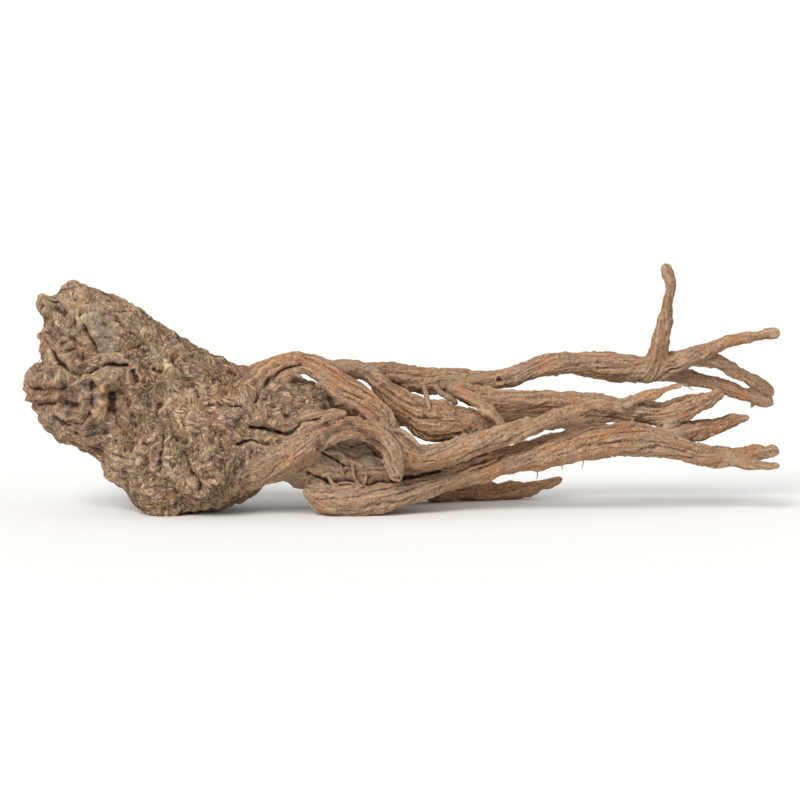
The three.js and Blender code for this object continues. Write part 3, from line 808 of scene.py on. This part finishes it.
rootletLook = {
    # how many grow on the limbs, their length and radius in mm, and how much they lean
    "grown": {"stubs": (48, (0.6, 1.7), (0.5, 1.1), 0.5), "hairs": (12, (2, 5), (0.16, 0.32), 1.8)},
    "sunk": 0.6,                # mm that each starts below the bark
    "hang": 2,                  # mm that a side root may lie behind the place where it starts
    # Side roots that the photograph shows: (x, y) in its pixels, mm off the bark there, and radius in mm.
    "seen": {
        "hollowRootletLeft": [(340, 464, -0.5, 0.5), (341, 469, 0.9, 0.55), (343, 474, 1.2, 0.5),
                              (346, 478, 0.3, 0.4)],
        "hollowRootletMid": [(352, 463, -0.5, 0.5), (353, 469, 1.0, 0.55), (354, 476, 1.4, 0.5),
                             (357, 482, 1.1, 0.5), (361, 486, 0.8, 0.45), (365, 482, 0.9, 0.45),
                             (366, 475, 0.6, 0.4), (365, 470, -0.3, 0.3)],
        "hollowRootletRight": [(372, 457, -0.4, 0.4), (378, 459, 1.1, 0.5), (384, 462, 0.5, 0.5)],
        "bellyRootlet": [(327, 474, -0.5, 0.5), (330, 479, 1.0, 0.65), (333, 484, 0.9, 0.6),
                         (339, 486, 0.4, 0.5)],
        "bellyThread": [(337, 484, -0.3, 0.4), (345, 483, 0.8, 0.5), (353, 484, 0.6, 0.45),
                        (359, 487, -0.2, 0.3)],
        "gapRootlet": [(390, 430, -0.6, 0.8), (401, 431, 0.4, 0.75), (409, 436, 0.5, 0.7),
                       (420, 447, 0.1, 0.6)],
        "bridgeRootletLeft": [(423, 384, -0.6, 0.7), (426, 394, 1.0, 0.75), (428, 402, 1.1, 0.7),
                              (430, 410, 0.2, 0.5)],
        "bridgeRootletRight": [(434, 384, -0.6, 0.9), (441, 393, 1.0, 0.9), (450, 398, 1.2, 1.0),
                               (457, 404, 0.3, 0.8)],
        "trunkBump": [(524, 424, -0.6, 0.9), (527, 419, 0.4, 1.1), (530, 424, -0.6, 0.9)],
        "forkFlake": [(575, 424, -0.5, 0.6), (584, 421, 0.7, 0.7), (594, 418, 0.1, 0.5)],
        "armpitThreadOne": [(343, 403, -0.3, 0.14), (347, 409, 0.8, 0.16), (350, 414, 0.2, 0.12)],
        "armpitThreadTwo": [(347, 403, -0.3, 0.14), (351, 410, 0.9, 0.16), (352, 415, 0.2, 0.12)],
    },
}


def seenRoutes(skin):
    # the side roots that the photograph shows, each started on the bark that is seen at its first pixel
    toFrame = np.array([*rootShape["boxMiddle"], 0])
    eye = view["aim"] + viewBack * view["distance"] - toFrame
    routes = []
    for stations in rootletLook["seen"].values():
        route = []
        furthest = math.inf
        for x, y, lift, radius in stations:
            across = np.array([(x - view["middle"]) * view["pixel"], 0, 0])
            onPlane = view["aim"] + across + (view["middle"] - y) * view["pixel"] * viewUp - toFrame
            sight = (onPlane - eye) / np.linalg.norm(onPlane - eye)
            met = skin.ray_cast(Vector(eye * mm), Vector(sight))[3]
            depth = min(met / mm if met else math.inf, furthest)
            if not route:
                furthest = depth + rootletLook["hang"]
            route.append((*(eye + sight * (depth - lift)), radius))
        routes.append(route)
    return routes


def growRootlets(root):
    # short side roots, broken stubs and hair roots, each sunk into the bark that it grows from
    look = rootletLook
    draw = np.random.default_rng(91)
    routes = seenRoutes(BVHTree.FromObject(root, bpy.context.evaluated_depsgraph_get()))
    points, normals = pointsOf(root.data), normalsOf(root.data)
    limbPoints = np.flatnonzero((attributeOf(root.data, "grainHold") > 0.6) & (points[:, 2] > 3))
    for count, lengths, radii, bend in look["grown"].values():
        for start in draw.choice(limbPoints, count, replace=False):
            length = draw.uniform(*lengths)
            radius = draw.uniform(*radii)
            way = normals[start] + bend * draw.normal(size=3)
            way /= np.linalg.norm(way)
            place = points[start] - normals[start] * look["sunk"]
            route = [(*place, radius * 1.5)]
            for share in (0.3, 0.65, 1):
                place = place + way * (length + look["sunk"]) * 0.34
                way = way + 0.35 * draw.normal(size=3) - (0, 0, 0.12)
                way /= np.linalg.norm(way)
                place[2] = max(place[2], 0.5)
                route.append((*place, radius * (1.1 - 0.7 * share)))
            routes.append(route)

    tubes = []
    for route in routes:
        along, rows = smoothPath(route, 0.5)
        uneven = 1 + 0.18 * noise(rows[:, :3] / 0.9)
        rows[:, 3] = uneven * roundEnded(along, rows[:, 3], 0.8, 0.3)
        tubes.append(rows)
    rootlets = applied(tubesAlong("rootlets", tubes, 3), "rootlets")
    rootlets.data.shade_smooth()
    print("rootlets have", trianglesOf(rootlets.data), "triangles")
    return rootlets


def linear(code):
    # an sRGB hex colour as Blender's linear values
    parts = [int(code[i:i + 2], 16) / 255 for i in (1, 3, 5)]
    return [*(c / 12.92 if c <= 0.04045 else ((c + 0.055) / 1.055) ** 2.4 for c in parts), 1]


def addNode(tree, kind, settings=None, inputs=None):
    # one node with its settings, and for each input a value or the socket that feeds it
    node = tree.nodes.new(kind)
    for name, value in (settings or {}).items():
        setattr(node, name, value)
    for name, value in (inputs or {}).items():
        if isinstance(value, bpy.types.NodeSocket):
            tree.links.new(value, node.inputs[name])
        else:
            node.inputs[name].default_value = value
    return node


barkLook = {
    "base": "#9c7f66",
    "brightness": 0.89,         # of all the colours below
    "saturation": 0.98,
    "roughness": 0.93,
    "specular": 0.2,
    "stripeStretch": 10,        # how many times longer than wide the stripes along a limb are
    "layerDetail": 5,
    "gritSize": 0.5,            # mm
    "strandShare": 0.65,        # of the fine relief; the rest is grit
    "bumpDepth": 0.5,           # mm
    "bumpStrength": 0.8,
    # Each layer of colour lies over those before it: what it reads, where it shows, its size in mm, where it
    # starts and where it is full, its colour and its share. "patches" and "along" are noise, the second along
    # a limb's grain or a tuft's; the others read one of the skin's attributes and have no size.
    "layers": [
        ("patches", "all", 9, 0.4, 0.62, "#bb9878", 0.8),
        ("patches", "limbs", 15, 0.36, 0.54, "#966a46", 0.64),
        ("patches", "all", 6, 0.52, 0.62, "#9a8a79", 0.55),
        ("patches", "limbs", 7, 0.53, 0.62, "#b27544", 0.5),
        ("patches", "limbs", 10, 0.5, 0.58, "#8b7664", 0.4),
        ("along", "limbs", 2.2, 0.53, 0.64, "#b5774a", 0.55),
        ("along", "limbs", 0.9, 0.48, 0.36, "#6b5243", 0.6),
        ("along", "limbs", 0.6, 0.52, 0.64, "#d2ad89", 0.55),
        ("tuftTone", "crown", 0, 0.55, 0.6, "#a08e7c", 0.55),
        ("tuftTone", "crown", 0, 0.82, 0.87, "#b38e5c", 0.6),
        ("tuftTone", "crown", 0, 0.25, 0.2, "#5f4b44", 0.65),
        ("tuftTone", "crown", 0, 0.09, 0.05, "#98643f", 0.6),
        ("patches", "crown", 11, 0.49, 0.58, "#d2b08c", 0.6),
        ("patches", "crown", 13, 0.5, 0.57, "#524040", 0.66),
        ("patches", "crown", 8, 0.52, 0.59, "#9e633b", 0.62),
        ("patches", "crown", 6, 0.54, 0.61, "#b0905a", 0.45),
        ("patches", "crown", 3.4, 0.52, 0.6, "#50403b", 0.7),
        ("patches", "crown", 2.6, 0.55, 0.62, "#b98e55", 0.65),
        ("patches", "crown", 3, 0.56, 0.64, "#a86b46", 0.6),
        ("streak", "crown", 0, 0.4, 0.1, "#5b473c", 0.5),
        ("streak", "crown", 0, 0.6, 0.95, "#ccb294", 0.5),
        ("along", "crown", 0.5, 0.48, 0.38, "#54413a", 0.7),
        ("along", "crown", 0.45, 0.51, 0.61, "#e0c7a6", 0.72),
        ("patches", "all", 0.8, 0.47, 0.36, "#4f3d34", 0.6),
        ("patches", "all", 0.6, 0.54, 0.66, "#d6b593", 0.5),
        ("markWarm", "all", 0, 0.1, 0.9, "#a0694a", 0.45),
        # paler, greyer bark, and in places painted light
        ("markPaleAndLit", "all", 0, 0.1, 0.9, "#a99b88", 0.5),
        # painted highlight on the ridges, where the skin stands above the skin around it
        ("furrow", "all", 0, -0.03, -0.18, "#d0ac86", 0.5),
        # painted shade in the furrows, darkest in the deepest of them
        ("furrow", "all", 0, 0.02, 0.16, "#644c3d", 0.7),
        ("furrow", "all", 0, 0.14, 0.34, "#291a14", 0.85),
        # painted shade in the broad creases and hollows
        ("creaseShade", "all", 0, 0.1, 0.65, "#2a1b15", 0.78),
        # painted shade in cracks, pits and knot rings, and over the shade marks
        ("markShade", "all", 0, 0.1, 0.95, "#3a2823", 0.85),
        # painted highlight on the raised flakes
        ("markFlakeHighlight", "all", 0, 0.25, 0.8, "#e0c596", 0.85),
    ],
}


def newPaint(name, roughness):
    paint = bpy.data.materials.new(name)
    paint.use_nodes = True
    shader = paint.node_tree.nodes["Principled BSDF"]
    shader.inputs["Roughness"].default_value = roughness
    return paint, paint.node_tree, shader


def paintBark():
    # the dried bark of a root: matt and rough, tan with a painted highlight on its ridges, and painted shade
    # darkening its furrows
    bark, tree, shader = newPaint("driedRootBark", barkLook["roughness"])
    shader.inputs["Specular IOR Level"].default_value = barkLook["specular"]
    place = addNode(tree, "ShaderNodeTexCoord").outputs["Object"]
    grain = addNode(tree, "ShaderNodeAttribute", {"attribute_name": "grainPlace"}).outputs["Vector"]
    along = addNode(tree, "ShaderNodeMapping", {}, {
        "Vector": grain, "Scale": (1, 1, 1 / barkLook["stripeStretch"])}).outputs["Vector"]
    held = {
        "crown": addNode(tree, "ShaderNodeAttribute", {"attribute_name": "crownShare"}).outputs["Fac"],
        "limbs": addNode(tree, "ShaderNodeAttribute", {"attribute_name": "grainHold"}).outputs["Fac"],
        "all": 1.0,
    }
    # where each kind of noise is read, and how long a mm is there
    noises = {"patches": (place, mm), "along": (along, 1)}

    colour = linear(barkLook["base"])
    for number, (reads, on, size, low, high, tint, most) in enumerate(barkLook["layers"]):
        if reads in noises:
            where, unit = noises[reads]
            source = addNode(tree, "ShaderNodeTexNoise", {"noise_dimensions": "4D"}, {
                "Vector": where, "W": 5.7 * number, "Scale": 1 / (size * unit),
                "Detail": barkLook["layerDetail"], "Roughness": 0.6})
        else:
            source = addNode(tree, "ShaderNodeAttribute", {"attribute_name": reads})
        shown = addNode(tree, "ShaderNodeMapRange", {"interpolation_type": "SMOOTHSTEP"}, {
            "Value": source.outputs["Fac"], "From Min": low, "From Max": high, "To Max": most})
        share = addNode(tree, "ShaderNodeMath", {"operation": "MULTIPLY"}, {
            0: shown.outputs["Result"], 1: held[on]})
        colour = addNode(tree, "ShaderNodeMix", {"data_type": "RGBA"}, {
            0: share.outputs[0], 6: colour, 7: linear(tint)}).outputs[2]
    toned = addNode(tree, "ShaderNodeHueSaturation", {}, {
        "Value": barkLook["brightness"], "Saturation": barkLook["saturation"], "Color": colour})
    tree.links.new(toned.outputs["Color"], shader.inputs["Base Color"])

    strands = addNode(tree, "ShaderNodeTexNoise", {}, {"Vector": along, "Scale": 1 / barkLook["gritSize"]})
    grit = addNode(tree, "ShaderNodeTexNoise", {}, {
        "Vector": place, "Scale": 1 / (barkLook["gritSize"] * mm), "Detail": barkLook["layerDetail"]})
    relief = addNode(tree, "ShaderNodeMix", {"data_type": "FLOAT"}, {
        0: barkLook["strandShare"], 2: grit.outputs["Fac"], 3: strands.outputs["Fac"]})
    bump = addNode(tree, "ShaderNodeBump", {}, {
        "Height": relief.outputs[0], "Strength": barkLook["bumpStrength"],
        "Distance": barkLook["bumpDepth"] * mm})
    tree.links.new(bump.outputs["Normal"], shader.inputs["Normal"])
    return bark


fibrePaint = {
    "dark": "#4f3b30",
    "middle": "#7f664d",
    "pale": "#b2956f",
    "roughness": 0.85,
    "specular": 0.3,
}


def paintFibres():
    # dry bast fibres, frayed from the bark: straw-coloured to brown, with a faint silky sheen
    fibre, tree, shader = newPaint("dryBastFibre", fibrePaint["roughness"])
    shader.inputs["Specular IOR Level"].default_value = fibrePaint["specular"]
    tone = addNode(tree, "ShaderNodeAttribute", {"attribute_name": "tone"})
    tones = addNode(tree, "ShaderNodeValToRGB", {}, {"Fac": tone.outputs["Fac"]})
    ramp = tones.color_ramp
    ramp.elements[0].color = linear(fibrePaint["dark"])
    ramp.elements[1].color = linear(fibrePaint["pale"])
    ramp.elements.new(0.5).color = linear(fibrePaint["middle"])
    tree.links.new(tones.outputs["Color"], shader.inputs["Base Color"])
    return fibre


def setCamera():
    camera = linked("camera", bpy.data.cameras.new("camera"))
    back = Vector(viewBack)
    aim = view["aim"] - (*rootShape["boxMiddle"], 0)
    camera.location = Vector(aim * mm) + back * view["distance"] * mm
    camera.rotation_mode = "QUATERNION"
    camera.rotation_quaternion = (-back).to_track_quat("-Z", "Y")
    camera.data.sensor_width = 36
    camera.data.lens = camera.data.sensor_width * view["distance"] / (2 * view["middle"] * view["pixel"])
    camera.data.clip_start = 0.01
    camera.data.clip_end = 50
    bpy.context.scene.camera = camera


studio = {
    "floorColour": "#f8f7f5",
    "floorRoughness": 0.8,
    "floorSize": 60,            # m
    "skySeen": 1.0,
    "skyLight": 0.62,
    "sunPower": 2.5,
    "sunSoftness": math.radians(30),
    "sunFrom": (-0.5, -0.95, 0.85),
}


def lightStudio():
    scene = bpy.context.scene
    scene.view_settings.view_transform = "Standard"
    sky = bpy.data.worlds.new("paleRoom")
    sky.use_nodes = True
    tree = sky.node_tree
    seen = addNode(tree, "ShaderNodeLightPath").outputs["Is Camera Ray"]
    strength = addNode(tree, "ShaderNodeMapRange", {}, {
        "Value": seen, "To Min": studio["skyLight"], "To Max": studio["skySeen"]}).outputs["Result"]
    tree.nodes["Background"].inputs["Color"].default_value = (1, 1, 1, 1)
    tree.links.new(strength, tree.nodes["Background"].inputs["Strength"])
    scene.world = sky
    lamp = bpy.data.lights.new("softSun", "SUN")
    lamp.energy = studio["sunPower"]
    lamp.angle = studio["sunSoftness"]
    sun = linked("softSun", lamp)
    sun.rotation_mode = "QUATERNION"
    sun.rotation_quaternion = (-Vector(studio["sunFrom"])).to_track_quat("-Z", "Y")

    bpy.ops.mesh.primitive_plane_add(size=studio["floorSize"])
    floor = bpy.context.object
    floor.name = "floor"
    paint, _, shader = newPaint("paleFloor", studio["floorRoughness"])
    shader.inputs["Base Color"].default_value = linear(studio["floorColour"])
    floor.data.materials.append(paint)


setCamera()
lightStudio()
root = shapeRoot()
barkPaint = paintBark()
painted = [(layFibres(root), paintFibres()), (growRootlets(root), barkPaint)]
for piece in cutPieces(root):
    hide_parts("root")
    painted.append((piece, barkPaint))
for piece, paint in painted:
    piece.data.materials.append(paint)
    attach(piece, "root")
print("root painted")
